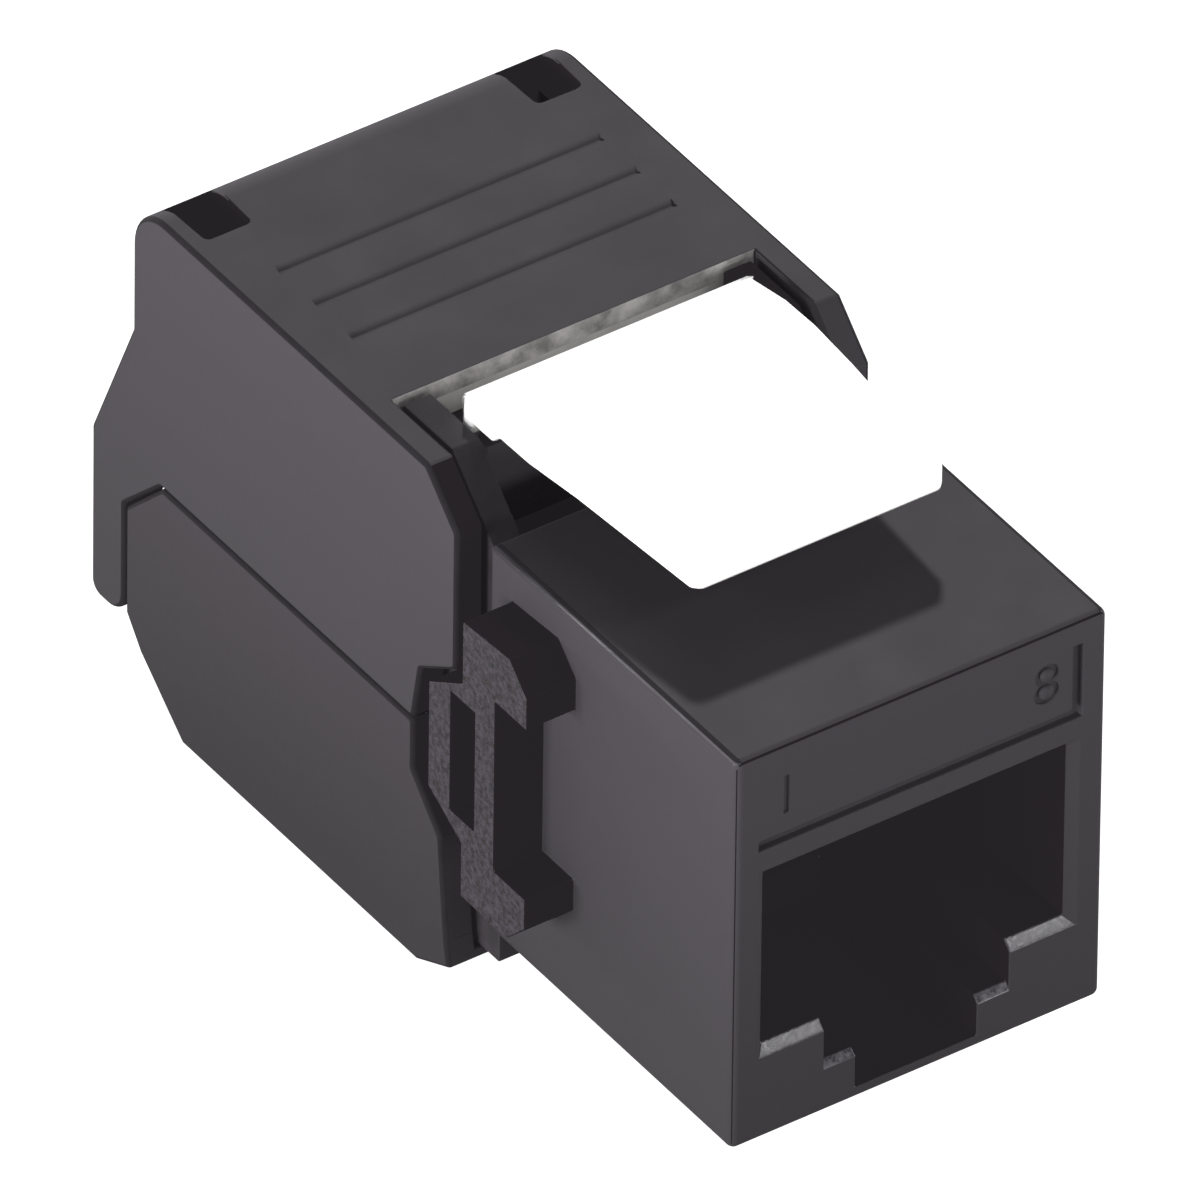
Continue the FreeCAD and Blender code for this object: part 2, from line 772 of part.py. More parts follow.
nub_pocket = cut(shell, "nub_pocket", "YZ", shell_inner - s.gap, s.nub_proud, rectangle(
    nub_front - s.gap, nub_front + s.nub_long + s.gap,
    nub_low - s.gap, nub_low + s.nub_high + s.gap))
both_sides(shell, nub_pocket, "other_nub_pocket")


# Circuit board on the shell's ledges, drilled for sixteen pins.

board = new_body("circuit_board")
board_half = shell_inner - s.board_gap
pad(board, "board", "XY", board_low, s.board_thick,
    centred(board_half * 2, board_front, board_rear))
pin_place = contact_rear - s.contact_thick / 2
contact_hole = round_cut(board, "contact_hole", "XY", board_low, s.board_thick,
                         first_contact, pin_place, s.pin_hole)
in_a_row(board, contact_hole, "contact_holes", s.contact_pitch, s.lanes)
front_row = wire_block_front + s.fork_set
rear_row = front_row + s.fork_step
front_hole = round_cut(board, "front_fork_hole", "XY", board_low, s.board_thick,
                       first_lane, front_row, s.pin_hole)
in_a_row(board, front_hole, "front_fork_holes", lane_pitch * 2, s.lanes / 2)
rear_hole = round_cut(board, "rear_fork_hole", "XY", board_low, s.board_thick,
                      first_lane + lane_pitch, rear_row, s.pin_hole)
in_a_row(board, rear_hole, "rear_fork_holes", lane_pitch * 2, s.lanes / 2)


# Wire block: eight lanes that are open upwards, with a pocket for a fork in each.

wire_block = new_body("wire_block")
pad(wire_block, "comb", "XY", s.board_top, s.wire_block_high,
    centred(wire_block_half * 2, wire_block_front, wire_block_rear))
lane = cut(wire_block, "lane", "XZ", wire_block_front, s.wire_block_long, rectangle(
    first_lane - lane_wide / 2, first_lane + lane_wide / 2,
    s.board_top + s.lane_floor, wire_block_top))
in_a_row(wire_block, lane, "lane_row", lane_pitch, s.lanes)


def fork_pocket(name, across, along):
    """A pocket for one fork, repeated in every second lane."""
    half_wide = fork_wide / 2 + s.fork_gap
    half_thick = s.fork_thick / 2 + s.fork_gap
    pocket = cut(wire_block, name, "XY", s.board_top, s.wire_block_high, rectangle(
        across - half_wide, across + half_wide, along - half_thick, along + half_thick))
    in_a_row(wire_block, pocket, name + "s", lane_pitch * 2, s.lanes / 2)


fork_pocket("front_fork_pocket", first_lane, front_row)
fork_pocket("rear_fork_pocket", first_lane + lane_pitch, rear_row)


# Contact forks: stamped plates with a slit that cuts into a wire, and a tail through the board.

def contact_fork(number):
    """One fork, in the front row for every other lane."""
    fork = new_body("wire_contact_%d" % (number + 1))
    middle = first_lane + lane_pitch * number
    along = front_row if number % 2 == 0 else rear_row
    half = fork_wide / 2
    slit = s.fork_slit / 2
    mouth = s.fork_mouth / 2
    tail = s.fork_tail / 2
    foot = s.board_top + s.gap
    pad(fork, "fork", "XZ", along - s.fork_thick / 2, s.fork_thick, [
        (middle - tail, tail_end),
        (middle + tail, tail_end),
        (middle + tail, foot),
        (middle + half, foot),
        (middle + half, fork_top),
        (middle + mouth, fork_top),
        (middle + slit, fork_top - s.fork_mouth),
        (middle + slit, fork_top - s.slit_deep),
        (middle - slit, fork_top - s.slit_deep),
        (middle - slit, fork_top - s.fork_mouth),
        (middle - mouth, fork_top),
        (middle - half, fork_top),
        (middle - half, foot),
        (middle - tail, foot),
    ])
    return fork


# Presser: a white comb under the hood's panel, whose ribs push the wires down into the lanes.

presser = new_body("wire_presser")
presser_front = hood_front + s.panel_set + s.gap
presser_rear = wire_block_rear - s.presser_rear_set
rib_front = wire_block_front + s.rib_set
rib_rear = wire_block_rear - s.rib_set
rib_half = lane_wide / 2 - s.rib_gap
pad(presser, "presser_plate", "XY", presser_low, s.presser_plate,
    centred((hood_inner - s.presser_gap) * 2, presser_front, presser_rear))
rib = pad(presser, "presser_rib", "XZ", rib_front, rib_rear - rib_front,
          rectangle(first_lane - rib_half, first_lane + rib_half,
                    fork_top + s.rib_lift, presser_low + s.gap))
in_a_row(presser, rib, "presser_ribs", lane_pitch, s.lanes)


# Carrier: an L-shaped insert that holds the spring contacts above and behind the port.

carrier = new_body("contact_carrier")
carrier_half = chamber_half - s.carrier_gap
carrier_top = chamber_top - s.carrier_gap
pad(carrier, "carrier", "YZ", -carrier_half, carrier_half * 2, [
    (contact_rear, s.board_top),
    (contact_rear + s.carrier_leg, s.board_top),
    (contact_rear + s.carrier_leg, carrier_top),
    (s.carrier_front, carrier_top),
    (s.carrier_front, contact_top),
    (contact_rear, contact_top),
])


# Spring contacts: bent strips from the board up, forward above the port and back down into it.

def spring_contact(number):
    """One bent strip."""
    contact = new_body("port_contact_%d" % (number + 1))
    start = first_contact + s.contact_pitch * number - s.contact_wide / 2
    inner_top = contact_top - s.contact_thick
    slant_rear = s.contact_front + s.contact_slant_long
    slant_low = port_top - s.contact_tip_drop
    pad(contact, "strip", "YZ", start, s.contact_wide, [
        (contact_rear - s.contact_thick, tail_end),
        (contact_rear, tail_end),
        (contact_rear, contact_top),
        (s.contact_front, contact_top),
        (s.contact_front - s.contact_thick, inner_top),
        (slant_rear, slant_low),
        (slant_rear, slant_low + s.contact_thick),
        (s.contact_front + s.contact_thick, inner_top),
        (contact_rear - s.contact_thick, inner_top),
    ])
    return contact


pieces = [front, catch, hood, shell, board, wire_block, presser, carrier]
for number in range(SIZES["lanes"]):
    pieces.append(contact_fork(number))
    pieces.append(spring_contact(number))

doc.recompute()
for item in doc.Objects:
    if "Invalid" in item.State or "Error" in item.State:
        raise RuntimeError("%s could not be built: %s" % (item.Label, item.State))
for piece in pieces:
    if piece.Shape.isNull() or not piece.Shape.isValid() or len(piece.Shape.Solids) != 1:
        raise RuntimeError("%s is not one sound solid" % piece.Label)

os.makedirs("parts", exist_ok=True)
for piece in pieces:
    piece.Shape.exportStep("parts/%s.step" % piece.Label)
    print("%-18s %9.3f mm3" % (piece.Label, piece.Shape.Volume))
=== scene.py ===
from math import radians

import bmesh
import bpy
from mathutils import Matrix, Vector


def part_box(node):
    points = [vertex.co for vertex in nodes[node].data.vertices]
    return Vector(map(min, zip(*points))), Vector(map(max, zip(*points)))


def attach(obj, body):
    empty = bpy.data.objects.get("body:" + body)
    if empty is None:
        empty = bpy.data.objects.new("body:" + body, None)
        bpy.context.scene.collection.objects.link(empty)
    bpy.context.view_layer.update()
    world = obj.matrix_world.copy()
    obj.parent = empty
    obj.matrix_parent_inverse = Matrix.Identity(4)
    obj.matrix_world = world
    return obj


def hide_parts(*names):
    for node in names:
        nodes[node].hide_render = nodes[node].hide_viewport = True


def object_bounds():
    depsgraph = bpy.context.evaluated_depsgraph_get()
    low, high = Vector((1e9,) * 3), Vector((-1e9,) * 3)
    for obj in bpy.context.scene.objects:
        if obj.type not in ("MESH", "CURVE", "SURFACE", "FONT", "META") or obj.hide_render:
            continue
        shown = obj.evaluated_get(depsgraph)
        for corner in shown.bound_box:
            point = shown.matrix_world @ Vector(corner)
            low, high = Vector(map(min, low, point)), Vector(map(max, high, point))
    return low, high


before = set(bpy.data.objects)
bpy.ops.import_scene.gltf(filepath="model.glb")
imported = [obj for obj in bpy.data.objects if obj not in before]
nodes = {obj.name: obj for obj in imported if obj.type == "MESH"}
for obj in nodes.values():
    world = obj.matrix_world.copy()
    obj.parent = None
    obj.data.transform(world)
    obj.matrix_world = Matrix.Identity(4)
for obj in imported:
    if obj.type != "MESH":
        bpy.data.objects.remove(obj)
cad_low, cad_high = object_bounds()

mm = 0.001


# The photograph's camera: a long lens from the front left, well above the jack. Its angles were
# fitted to the block's corners. It is aimed so that the middle of the block's lower front edge
# comes where the photograph has it, in pixels from the top left.

distance = 1500 * mm
photo_size = 1200
pixel = mm / 30.86
edge_across = 916
edge_down = 1073.7
turn = Matrix.Rotation(radians(-34.94), 3, "Z")
tilt = Matrix.Rotation(radians(90 - 38.34), 3, "X")
roll = Matrix.Rotation(radians(0.71), 3, "Z")
facing = turn @ tilt @ roll
front_face = cad_low.y
block_low = 2.85 * mm
front_edge = Vector((0, front_face, block_low))
middle = photo_size / 2
shift = Vector(((middle - edge_across) * pixel, (edge_down - middle) * pixel, 0))
back = facing @ Vector((0, 0, distance))

camera_data = bpy.data.cameras.new("camera")
camera_data.sensor_width = 36
camera_data.lens = camera_data.sensor_width * distance / (photo_size * pixel)
camera_data.clip_start = 0.1
camera_data.clip_end = 10
camera = bpy.data.objects.new("camera", camera_data)
camera.matrix_world = Matrix.Translation(front_edge + facing @ shift + back) @ facing.to_4x4()
bpy.context.collection.objects.link(camera)
bpy.context.scene.camera = camera


# The floor is card on a light table, with a little light of its own. The camera sees it at full
# white, like the photograph's background, but it throws less light back at the jack than white
# card would, because the photograph's lower faces are dark.

def ranged(tree, value, start, end, low, high):
    """A value that goes from low to high while another one goes from start to end."""
    spread = tree.nodes.new("ShaderNodeMapRange")
    spread.inputs["From Min"].default_value = start
    spread.inputs["From Max"].default_value = end
    spread.inputs["To Min"].default_value = low
    spread.inputs["To Max"].default_value = high
    tree.links.new(value, spread.inputs["Value"])
    return spread


floor_half = 600 * mm
floor_mesh = bpy.data.meshes.new("floor")
shape = bmesh.new()
bmesh.ops.create_grid(shape, x_segments=1, y_segments=1, size=floor_half)
shape.to_mesh(floor_mesh)
shape.free()
floor = bpy.data.objects.new("floor", floor_mesh)
bpy.context.collection.objects.link(floor)
white_card = bpy.data.materials.new("white_card")
white_card.use_nodes = True
tree = white_card.node_tree
card = tree.nodes["Principled BSDF"]
card.inputs["Base Color"].default_value = (0.4, 0.4, 0.4, 1)
card.inputs["Roughness"].default_value = 0.9
card.inputs["Emission Color"].default_value = (1, 1, 1, 1)
camera_ray = tree.nodes.new("ShaderNodeLightPath").outputs["Is Camera Ray"]
glow = ranged(tree, camera_ray, 0, 1, 0.15, 1)
tree.links.new(glow.outputs["Result"], card.inputs["Emission Strength"])
floor_mesh.materials.append(white_card)


# Studio light: one lamp behind and to the right gives the tab its shadow on the block, four wide
# soft boxes light the sides, and two small lamps glint on the lips and the edge that carry
# painted highlights. The walls give a faint light from all round, and are at full white to the
# camera.

def soft_box(name, place, wide, high, watts):
    """A rectangular lamp that faces the jack's middle. Its place, from there, is in mm."""
    lamp = bpy.data.lights.new(name, "AREA")
    lamp.shape = "RECTANGLE"
    lamp.size = wide * mm
    lamp.size_y = high * mm
    lamp.energy = watts
    light = bpy.data.objects.new(name, lamp)
    towards = Vector(place) * mm
    light.location = (cad_low + cad_high) / 2 + towards
    light.rotation_euler = towards.to_track_quat("Z", "Y").to_euler()
    light.visible_camera = False
    bpy.context.collection.objects.link(light)


soft_box("key_lamp", (660, 960, 1140), wide=120, high=120, watts=14.4)
soft_box("left_box", (-700, -60, 60), wide=500, high=240, watts=7.9)
soft_box("front_box", (60, -700, 60), wide=500, high=200, watts=2.05)
soft_box("right_box", (700, 60, 30), wide=500, high=100, watts=2.4)
soft_box("rear_box", (-60, 700, 30), wide=500, high=100, watts=2.4)
soft_box("lip_glint", (314, -434, 450), wide=90, high=90, watts=0.6)
soft_box("edge_glint", (-434, 450, 314), wide=90, high=90, watts=0.3)

studio = bpy.data.worlds.new("studio")
studio.use_nodes = True
tree = studio.node_tree
walls = tree.nodes["Background"]
walls.inputs["Color"].default_value = (1, 1, 1, 1)
camera_ray = tree.nodes.new("ShaderNodeLightPath").outputs["Is Camera Ray"]
strength = ranged(tree, camera_ray, 0, 1, 0.055, 1)
tree.links.new(strength.outputs["Result"], walls.inputs["Strength"])
bpy.context.scene.world = studio
bpy.context.scene.view_settings.view_transform = "Standard"


# Front block: one black moulding with a spark-eroded matte surface. The faces inside the port and
# round the side stops, its thin edges and its neck have painted shade, a darker colour. The
# port's lower lips and the long edge at the top left have painted highlights, a paler, smoother
# colour.

def noise(tree, place, size, detail):
    """A noise texture whose spots are about that many millimetres wide."""
    spots = tree.nodes.new("ShaderNodeTexNoise")
    spots.inputs["Scale"].default_value = 1 / (size * mm)
    spots.inputs["Detail"].default_value = detail
    tree.links.new(place, spots.inputs["Vector"])
    return spots


def plastic(name, colour, roughness, grain, grain_deep, cloud, mottle, glow=0, painted_shade_height=0,
            specular=0.5, glow_colour=(1, 0.88, 1, 1)):
    """A moulded plastic: a fine grain from the mould, and faint clouds in its colour.

    The grain, its depth and the clouds are in millimetres. Where a height is given for the
    paling, in millimetres too, the colour grows paler up to that height: painted shade low down
    and painted light higher up. The glow stands for the photograph's stray light, in which no
    face is quite black.
    """
    material = bpy.data.materials.new(name)
    material.use_nodes = True
    tree = material.node_tree
    shader = tree.nodes["Principled BSDF"]
    shader.inputs["Specular IOR Level"].default_value = specular
    shader.inputs["Emission Color"].default_value = glow_colour
    shader.inputs["Emission Strength"].default_value = glow
    place = tree.nodes.new("ShaderNodeTexCoord").outputs["Object"]
    bump = tree.nodes.new("ShaderNodeBump")
    bump.inputs["Strength"].default_value = 0.5
    bump.inputs["Distance"].default_value = grain_deep * mm
    tree.links.new(noise(tree, place, grain, 2).outputs["Fac"], bump.inputs["Height"])
    tree.links.new(bump.outputs["Normal"], shader.inputs["Normal"])
    clouds = noise(tree, place, cloud, 6)
    clouds.inputs["Roughness"].default_value = 0.6
    cloudy = ranged(tree, clouds.outputs["Fac"], 0.35, 0.65, 0, 1).outputs["Result"]
    shade = tree.nodes.new("ShaderNodeMix")
    shade.data_type = "RGBA"
    dark = [channel * (1 - mottle) for channel in colour]
    light = [channel * (1 + mottle) for channel in colour]
    shade.inputs["A"].default_value = (*dark, 1)
    shade.inputs["B"].default_value = (*light, 1)
    # Painted shade and light by height: darker low down, paler higher up.
    if painted_shade_height:
        split = tree.nodes.new("ShaderNodeSeparateXYZ")
        tree.links.new(place, split.inputs["Vector"])
        rise = ranged(tree, split.outputs["Z"], 0.15 * painted_shade_height * mm, painted_shade_height * mm, 0, 1)
        both = tree.nodes.new("ShaderNodeMix")
        both.inputs["Factor"].default_value = 0.88
        tree.links.new(cloudy, both.inputs["A"])
        tree.links.new(rise.outputs["Result"], both.inputs["B"])
        tree.links.new(both.outputs["Result"], shade.inputs["Factor"])
    else:
        tree.links.new(cloudy, shade.inputs["Factor"])
    tree.links.new(shade.outputs["Result"], shader.inputs["Base Color"])
    uneven = 0.1 * mottle
    gloss = ranged(tree, cloudy, 0, 1, roughness - uneven, roughness + uneven)
    tree.links.new(gloss.outputs["Result"], shader.inputs["Roughness"])
    return material


def weigh_normals(piece):
    """Lets broad faces look flat, so that only the rounded edges turn the light."""
    weighted = piece.modifiers.new("weighted_normals", "WEIGHTED_NORMAL")
    weighted.keep_sharp = True


crease = radians(50)


def moulded(node, name, edge, slot, *materials):
    """A copy of a CAD node with its sharp edges rounded a little, as a mould leaves them.

    Edges that are too short for the rounding, which is in millimetres, stay sharp.
    """
    same_point = 0.0005 * mm
    same_plane = radians(0.5)
    corner = radians(40)
    mesh = bpy.data.meshes.new(name)
    form = bmesh.new()
    form.from_mesh(nodes[node].data)
    bmesh.ops.remove_doubles(form, verts=form.verts, dist=same_point)
    bmesh.ops.dissolve_limit(form, angle_limit=same_plane, verts=form.verts, edges=form.edges)
    corners = [e for e in form.edges if e.calc_face_angle(0) > corner]
    roomy = [e for e in corners if e.calc_length() > 2.5 * edge * mm]
    bmesh.ops.bevel(form, geom=roomy, offset=edge * mm, offset_type="OFFSET", segments=2,
                    profile=0.5, affect="EDGES", clamp_overlap=False, material=-1)
    form.to_mesh(mesh)
    form.free()
    mesh.shade_smooth()
    mesh.set_sharp_from_angle(angle=crease)
    for material in materials:
        mesh.materials.append(material)
    piece = bpy.data.objects.new(name, mesh)
    bpy.context.collection.objects.link(piece)
    weigh_normals(piece)
    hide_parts(node)
    return piece


def paint(piece, face, material):
    """One face of a piece gets a material of its own."""
    face.material_index = piece.data.materials.find(material.name)


black_plastic = plastic("black_plastic", (0.0346, 0.0302, 0.0365), roughness=0.75, grain=0.09,
                        grain_deep=0.012, cloud=3, mottle=0.28, glow=0.006, painted_shade_height=21)
# Painted shade: a darker black, with no reflection, for faces that lie in shade.
painted_shade_black = plastic("painted_shade_black", (0.004, 0.003, 0.004), roughness=0.7, grain=0.2,
                         grain_deep=0.002, cloud=3, mottle=0.1, glow=0.018, specular=0)
# Painted highlight: a paler, smoother black for the port's lower lips, on which a lamp also
# glints.
painted_highlight_lip = plastic("painted_highlight_lip", (0.10, 0.095, 0.105), roughness=0.3, grain=0.3,
                       grain_deep=0.01, cloud=0.2, mottle=0.6, glow=0.010)
stop_black = plastic("stop_black", (0.024, 0.019, 0.026), roughness=0.72, grain=0.12,
                     grain_deep=0.06, cloud=0.2, mottle=0.9, glow=0.002)
# Painted highlight: a paler, smoother black for the top left edge, on which a lamp also glints.
painted_highlight_edge = plastic("painted_highlight_edge", (0.07, 0.065, 0.073), roughness=0.35, grain=0.5,
                    grain_deep=0.002, cloud=4, mottle=0.5, glow=0.010)
# Painted shade: a darker, mottled black for the neck's left sides.
painted_shade_neck = plastic("painted_shade_neck", (0.016, 0.013, 0.017), roughness=0.8, grain=0.15,
                     grain_deep=0.02, cloud=1, mottle=0.5, glow=0.010)
# Painted shade: a darker black for thin rounded edges.
painted_shade_edge = plastic("painted_shade_edge", (0.009, 0.0075, 0.010), roughness=0.8, grain=0.15,
                     grain_deep=0.01, cloud=1, mottle=0.3, glow=0.012, specular=0.2)

front_block = moulded("front_housing", "front_block", 0.06, "black_plastic",
                      black_plastic, painted_shade_black, painted_highlight_lip, stop_black,
                      painted_highlight_edge, painted_shade_neck, painted_shade_edge)
near = 0.1 * mm
slack = 0.02 * mm
block_half = 7.3 * mm
block_top = block_low + 16 * mm
rim_deep = 0.38 * mm
port_half = 6 * mm
port_low = block_low + 3.75 * mm
port_high = 9.6 * mm
neck_half = 5.5 * mm
neck_front = front_face + 13.95 * mm
for face in front_block.data.polygons:
    at = face.center
    normal = face.normal
    across = abs(at.x)

    # The walls inside the port: painted shade.
    in_port = across < port_half and at.z < port_low + port_high
    if in_port and front_face + rim_deep < at.y < neck_front - near:
        paint(front_block, face, painted_shade_black)

    # The side stops, whose outer faces are rough; their other faces have painted shade.
    if across > block_half + slack:
        outwards = abs(normal.x) > 0.6
        paint(front_block, face, stop_black if outwards else painted_shade_black)

    # The neck's sides: painted shade, mottled on the left.
    if across > neck_half and at.y > neck_front:
        paint(front_block, face, painted_shade_black if at.x > 0 else painted_shade_neck)

    # The rounding of the long edges beside the top: a painted highlight at the left, and painted
    # shade next to the top.
    at_top = at.z > block_top - 0.4 * mm and at.y < neck_front
    slopes_left = normal.x < -0.5 and normal.z > 0.5
    nearly_level = 0.1 < abs(normal.x) < 0.6 and normal.z > 0.75
    if at_top and slopes_left:
        paint(front_block, face, painted_highlight_edge)
    if at_top and nearly_level:
        paint(front_block, face, painted_shade_edge)

    # The rounding of the front face's outer edges: painted shade.
    outer_edge = across > block_half - near or at.z > block_top - 0.15 * mm
    rounded = -0.97 < normal.y < -0.2
    if outer_edge and rounded and at.y < front_face + near:
        paint(front_block, face, painted_shade_black)

    # The port's lower lips, which slope inwards: a painted highlight, paler and smoother, on
    # which a lamp also glints.
    lip = normal.y < -0.4 and normal.z > 0.4 and front_face < at.y
    if lip and across < port_half and at.z < port_low + near:
        paint(front_block, face, painted_highlight_lip)
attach(front_block, "jack")


# Pin numbers: plain figures, engraved in the label field above the first and the last spring
# contact, by raised figures on the mould.

def figure(digit, across):
    """A digit as a solid, to be cut out of the front face."""
    size = 2.3 * mm
    deep = 0.12 * mm
    middle_high = block_low + 13.85 * mm
    curve = bpy.data.curves.new("digit", "FONT")
    curve.body = digit
    curve.size = size
    curve.extrude = deep
    curve.align_x = "CENTER"
    curve.align_y = "CENTER"
    letter = bpy.data.objects.new("digit", curve)
    bpy.context.collection.objects.link(letter)
    seen_by = bpy.context.evaluated_depsgraph_get()
    mesh = bpy.data.meshes.new_from_object(letter.evaluated_get(seen_by))
    bpy.data.objects.remove(letter)
    upright = Matrix.Rotation(radians(90), 4, "X")
    mesh.transform(Matrix.Translation((across, front_face, middle_high)) @ upright)
    cutter = bpy.data.objects.new("digit_cutter", mesh)
    bpy.context.collection.objects.link(cutter)
    return cutter


figures = [figure("1", -5.3 * mm), figure("8", 4.9 * mm)]
front_block.modifiers.clear()
for cutter in figures:
    carve = front_block.modifiers.new("carve", "BOOLEAN")
    carve.object = cutter
    carve.solver = "EXACT"
seen_by = bpy.context.evaluated_depsgraph_get()
front_block.data = bpy.data.meshes.new_from_object(front_block.evaluated_get(seen_by))
front_block.modifiers.clear()
for cutter in figures:
    bpy.data.objects.remove(cutter)
weigh_normals(front_block)


# Latch tab: a leaf of white nylon that flexes at its root, smooth from a polished mould. Its top
# glows up to the photograph's full white, its sides less and less towards the rear, and its
# underside not at all.

white_glow = 0.5
white_plastic = plastic("white_plastic", (0.86, 0.86, 0.85), roughness=0.4, grain=0.3,
                        grain_deep=0.002, cloud=3, mottle=0.01, glow=white_glow,
                        glow_colour=(1, 1, 1, 1))
side_white = plastic("side_white", (0.86, 0.86, 0.85), roughness=0.4, grain=0.3,
                     grain_deep=0.002, cloud=3, mottle=0.01, glow=white_glow,
                     glow_colour=(1, 1, 1, 1))
shaded_white = plastic("shaded_white", (0.80, 0.80, 0.79), roughness=0.4, grain=0.3,
                       grain_deep=0.002, cloud=3, mottle=0.01)
tree = side_white.node_tree
split = tree.nodes.new("ShaderNodeSeparateXYZ")
place = tree.nodes.new("ShaderNodeTexCoord").outputs["Object"]
tree.links.new(place, split.inputs["Vector"])
brighter = ranged(tree, split.outputs["Y"], 0.5 * mm, -6 * mm, 0.04, white_glow)
brighter.interpolation_type = "SMOOTHSTEP"
shader = tree.nodes["Principled BSDF"]
tree.links.new(brighter.outputs["Result"], shader.inputs["Emission Strength"])

catch_leaf = moulded("latch_tab", "catch_leaf", 0.12, "white_plastic",
                     white_plastic, side_white, shaded_white)
leaf_low = cad_high.z - 1.1 * mm
for face in catch_leaf.data.polygons:
    faces_sideways = abs(face.normal.x) > 0.6
    faces_down = face.normal.z < -0.3
    if faces_sideways:
        paint(catch_leaf, face, side_white)
    elif faces_down or face.center.z < leaf_low:
        paint(catch_leaf, face, shaded_white)
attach(catch_leaf, "latch")


# Hood: the rear cover with its two legs, in the same black as the block. Its front rims, the pits
# of its two windows and its thin edges have painted shade, a darker colour. The panel's front rim
# is painted light, a pale grey.

# Painted light: a pale grey for the panel's front rim, as if lit.
painted_light_rim = plastic("painted_light_rim", (0.42, 0.41, 0.40), roughness=0.4, grain=0.2,
                   grain_deep=0.01, cloud=0.9, mottle=0.45, glow=0.010)
hood_cover = moulded("hood", "hood_cover", 0.05, "black_plastic",
                     black_plastic, painted_shade_black, painted_light_rim, painted_shade_edge)
panel_half = 7 * mm
panel_low = block_low + 17.1 * mm
cheek_low = panel_low - 6 * mm
window_inside = 5.5 * mm
window_outside = 7.5 * mm
window_front = front_face + 30.1 * mm
pit_floor = block_low + 16.45 * mm
pit_top = block_low + 17.88 * mm


def on_side_edge(face):
    """True on the rounding between a side wall and another face."""
    return 0.2 < abs(face.normal.x) < 0.97


for face in hood_cover.data.polygons:
    at = face.center
    normal = face.normal

    # The front rims: painted light, a pale grey, on the panel, painted shade elsewhere, and the
    # plain matte black on the upper part of the right cheek.
    if normal.y < -0.7:
        on_panel = at.z > panel_low and abs(at.x) < panel_half
        paint(hood_cover, face, painted_light_rim if on_panel else painted_shade_black)
        if at.x > panel_half and at.z > cheek_low:
            paint(hood_cover, face, black_plastic)
    # The thin edges beside the side walls: painted shade.
    if on_side_edge(face):
        paint(hood_cover, face, painted_shade_edge)

    # The windows: painted shade on the walls and the floors of their pits.
    in_window = window_inside < abs(at.x) < window_outside and at.y > window_front
    if in_window and pit_floor < at.z < pit_top:
        in_pit = abs(normal.z) < 0.3 or at.z < pit_floor + near
        paint(hood_cover, face, painted_shade_black if in_pit else black_plastic)
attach(hood_cover, "hood")


# Lower shell: the tray under the board, from a second mould, in a black a shade darker than the
# block's that grows darker still towards the bottom as painted shade. Its front rim and its thin
# edges have painted shade too.

shell_black = plastic("shell_black", (0.021, 0.0175, 0.022), roughness=0.75, grain=0.09,
                      grain_deep=0.012, cloud=3, mottle=0.36, glow=0.008, painted_shade_height=11)
shell_tray = moulded("lower_shell", "shell_tray", 0.05, "black_plastic",
                     shell_black, painted_shade_black, painted_shade_edge)
rim_low = 5 * mm
for face in shell_tray.data.polygons:
    # The front rim: painted shade.
    faces_front = face.normal.y < -0.5
    if faces_front and face.center.z > rim_low:
        paint(shell_tray, face, painted_shade_black)
    # The thin edges beside the side walls: painted shade.
    if on_side_edge(face):
        paint(shell_tray, face, painted_shade_edge)
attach(shell_tray, "jack")


# Circuit board: green solder mask over glass fibre. The contacts' tails stand in its holes.

board_mask = plastic("board_mask", (0.02, 0.13, 0.05), roughness=0.35, grain=0.4,
                     grain_deep=0.004, cloud=3, mottle=0.08)
board_plate = moulded("circuit_board", "board_plate", 0.02, "board_green", board_mask)
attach(board_plate, "jack")


# Contact forks: eight stamped plates of tinned bronze, pressed into the wire block.

def metal(name, colour, roughness, streak):
    """A plated sheet metal with faint rolling streaks along the jack, so many mm wide."""
    material = bpy.data.materials.new(name)
    material.use_nodes = True
    tree = material.node_tree
    shader = tree.nodes["Principled BSDF"]
    shader.inputs["Metallic"].default_value = 1
    place = tree.nodes.new("ShaderNodeTexCoord").outputs["Object"]
    along = tree.nodes.new("ShaderNodeMapping")
    along.inputs["Scale"].default_value = (1, 0.08, 0.3)
    tree.links.new(place, along.inputs["Vector"])
    rolled = noise(tree, along.outputs["Vector"], streak, 4).outputs["Fac"]
    shade = tree.nodes.new("ShaderNodeMix")
    shade.data_type = "RGBA"
    shade.inputs["A"].default_value = (*[channel * 0.8 for channel in colour], 1)
    shade.inputs["B"].default_value = (*colour, 1)
    tree.links.new(rolled, shade.inputs["Factor"])
    tree.links.new(shade.outputs["Result"], shader.inputs["Base Color"])
    gloss = ranged(tree, rolled, 0, 1, roughness - 0.08, roughness + 0.12)
    tree.links.new(gloss.outputs["Result"], shader.inputs["Roughness"])
    return material


contact_numbers = range(1, 9)
tinned_bronze = metal("tinned_bronze", (0.72, 0.69, 0.62), roughness=0.35, streak=0.125)
for number in contact_numbers:
    node = "wire_contact_%d" % number
    fork = moulded(node, "fork_plate_%d" % number, 0.03, "fork_metal", tinned_bronze)
    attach(fork, "jack")


# Spring contacts: eight strips of spring bronze, gold plated where the plug touches them.

gold_plate = metal("gold_plate", (0.83, 0.62, 0.25), roughness=0.22, streak=0.125)
for number in contact_numbers:
    node = "port_contact_%d" % number
    spring = moulded(node, "spring_strip_%d" % number, 0.05, "gold_contact", gold_plate)
    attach(spring, "jack")


# Solder joints: a small cone of tin round each of the sixteen tails, under the board.

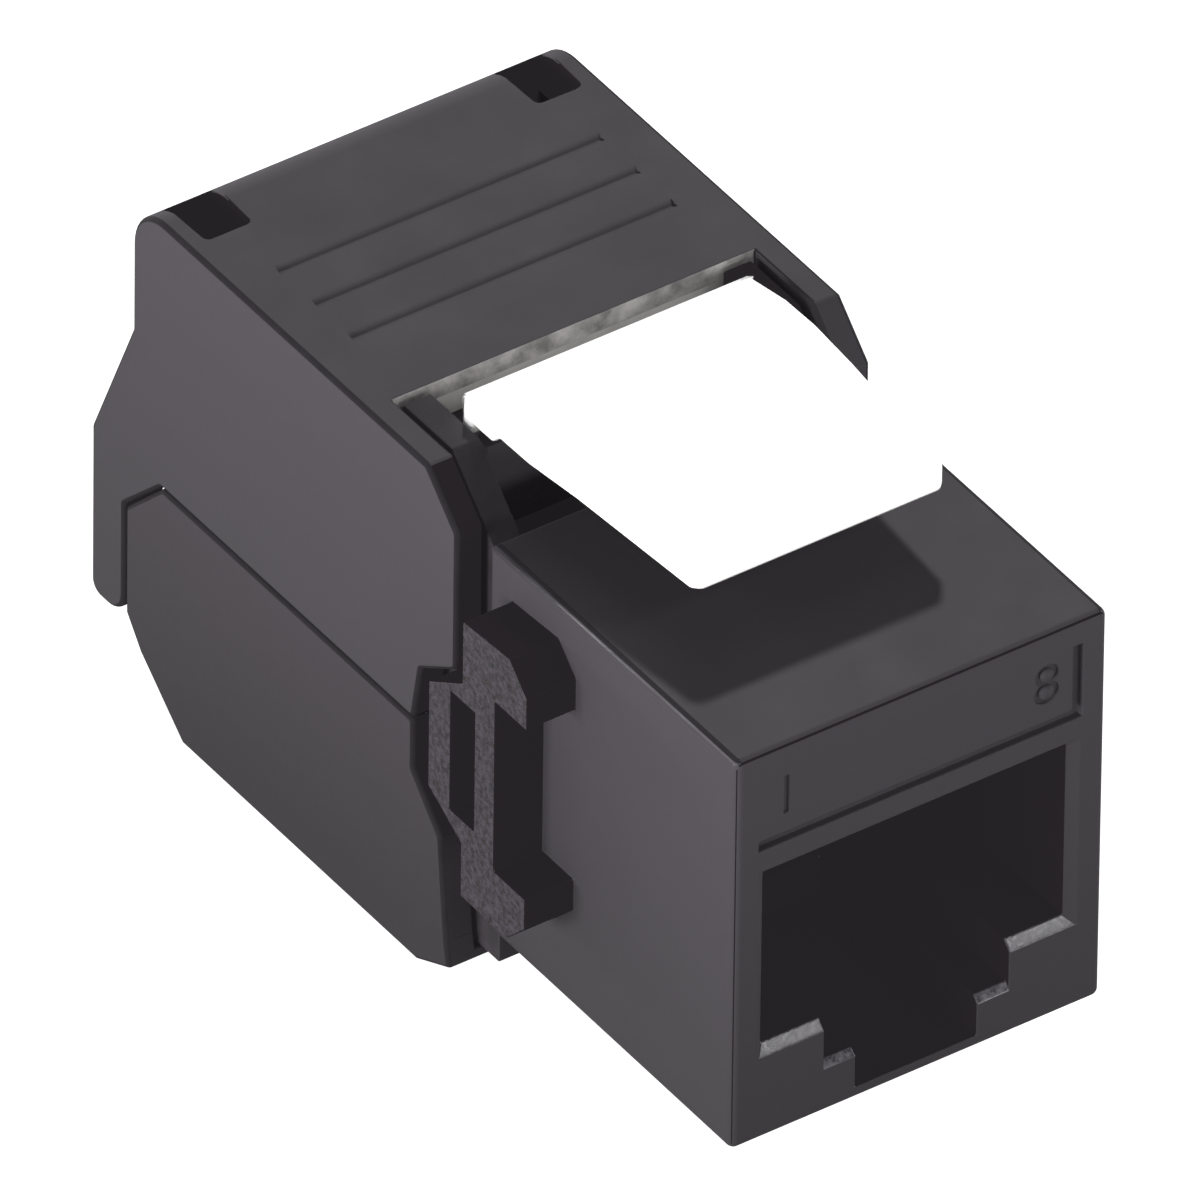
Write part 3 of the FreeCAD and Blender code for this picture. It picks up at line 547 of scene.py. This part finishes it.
tail_half = 0.17 * mm
joint_high = 0.32 * mm
joint_low_radius = 0.26 * mm
joint_top_radius = 0.5 * mm
board_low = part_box("circuit_board")[0].z
joints_mesh = bpy.data.meshes.new("solder_joints")
shape = bmesh.new()
for number in contact_numbers:
    fork_low, fork_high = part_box("wire_contact_%d" % number)
    strip_low, strip_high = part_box("port_contact_%d" % number)
    fork_middle = (fork_low + fork_high) / 2
    strip_middle = (strip_low + strip_high) / 2
    tails = ((fork_middle.x, fork_middle.y), (strip_middle.x, strip_high.y - tail_half))
    for across, along in tails:
        place = Matrix.Translation((across, along, board_low - joint_high / 2))
        bmesh.ops.create_cone(shape, cap_ends=True, segments=20, radius1=joint_low_radius,
                              radius2=joint_top_radius, depth=joint_high, matrix=place)
shape.to_mesh(joints_mesh)
shape.free()
joints_mesh.shade_smooth()
joints_mesh.set_sharp_from_angle(angle=crease)
tin_solder = metal("tin_solder", (0.75, 0.75, 0.74), roughness=0.3, streak=1 / 3)
joints_mesh.materials.append(tin_solder)
solder_joints = bpy.data.objects.new("solder_joints", joints_mesh)
bpy.context.collection.objects.link(solder_joints)
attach(solder_joints, "jack")


# Wire block: natural, slightly yellow plastic, with a lane for each wire.

natural_plastic = plastic("natural_plastic", (0.78, 0.76, 0.70), roughness=0.45, grain=0.2,
                          grain_deep=0.004, cloud=3, mottle=0.03)
lane_block = moulded("wire_block", "lane_block", 0.06, "natural_plastic", natural_plastic)
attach(lane_block, "jack")


# Wire presser: a comb of unpolished nylon, clipped under the hood's panel.

comb_nylon = plastic("comb_nylon", (0.6, 0.59, 0.58), roughness=0.5, grain=0.2,
                     grain_deep=0.006, cloud=1.5, mottle=0.08)
presser_comb = moulded("wire_presser", "presser_comb", 0.05, "white_plastic", comb_nylon)
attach(presser_comb, "hood")


# Contact carrier: a dark insulating insert behind the port.

dark_insert = plastic("dark_insert", (0.02, 0.018, 0.02), roughness=0.5, grain=0.15,
                      grain_deep=0.004, cloud=3, mottle=0.1, glow=0.012)
carrier_insert = moulded("contact_carrier", "carrier_insert", 0.04, "dark_insert", dark_insert)
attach(carrier_insert, "jack")
